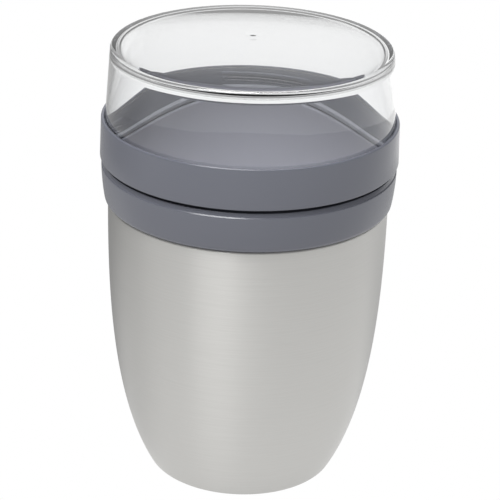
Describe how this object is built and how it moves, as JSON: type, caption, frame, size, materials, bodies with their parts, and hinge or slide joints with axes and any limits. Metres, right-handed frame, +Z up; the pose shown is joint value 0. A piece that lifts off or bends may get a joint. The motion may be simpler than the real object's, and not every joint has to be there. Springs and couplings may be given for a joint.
{
  "type": "insulated lunch pot",
  "caption": "Tapered double-walled steel lunch pot with a grey pressed-on collar, a grey tray that screws into the collar and a clear domed lid that screws into the tray.",
  "frame": {"origin": "centre of the circle that the steel foot stands on", "axes": "+Z up along the axis of revolution; +X to the right and -Y to the front of the picture"},
  "size_m": [0.112, 0.112, 0.1734],
  "materials": {
    "brushed_steel": "brushed round the body",
    "polished_steel": "bright, fine turned marks",
    "foil": "bright foil",
    "getter_alloy": "pressed powder",
    "braze": "as melted",
    "slate_plastic": "satin moulded",
    "silicone": "soft, grey",
    "clear_plastic": "clear, polished"
  },
  "bodies": {
    "pot": {"outer_shell": "brushed_steel", "inner_liner": "polished_steel", "reflector_foil": "foil", "getter": "getter_alloy", "weld_plate": "polished_steel", "vacuum_seal": "braze", "base_cover": "brushed_steel", "collar": "slate_plastic", "collar_gasket": "silicone"},
    "tray_seal": {"tray_seal": "silicone"},
    "tray": {"tray": "slate_plastic"},
    "lid_seal": {"lid_seal": "silicone"},
    "lid": {"lid": "clear_plastic"}
  },
  "joints": [
    {"name": "tray_lift", "type": "slide", "parent": "pot", "child": "tray_seal", "axis": [0, 0, 1], "range_m": [0, 0.1]},
    {"name": "tray_turn", "type": "hinge", "parent": "tray_seal", "child": "tray", "pos_m": [0, 0, 0.118], "axis": [0, 0, 1], "range_deg": [0, 45]},
    {"name": "lid_lift", "type": "slide", "parent": "tray", "child": "lid_seal", "axis": [0, 0, 1], "range_m": [0, 0.08]},
    {"name": "lid_turn", "type": "hinge", "parent": "lid_seal", "child": "lid", "pos_m": [0, 0, 0.137], "axis": [0, 0, 1], "range_deg": [0, 45]}
  ]
}
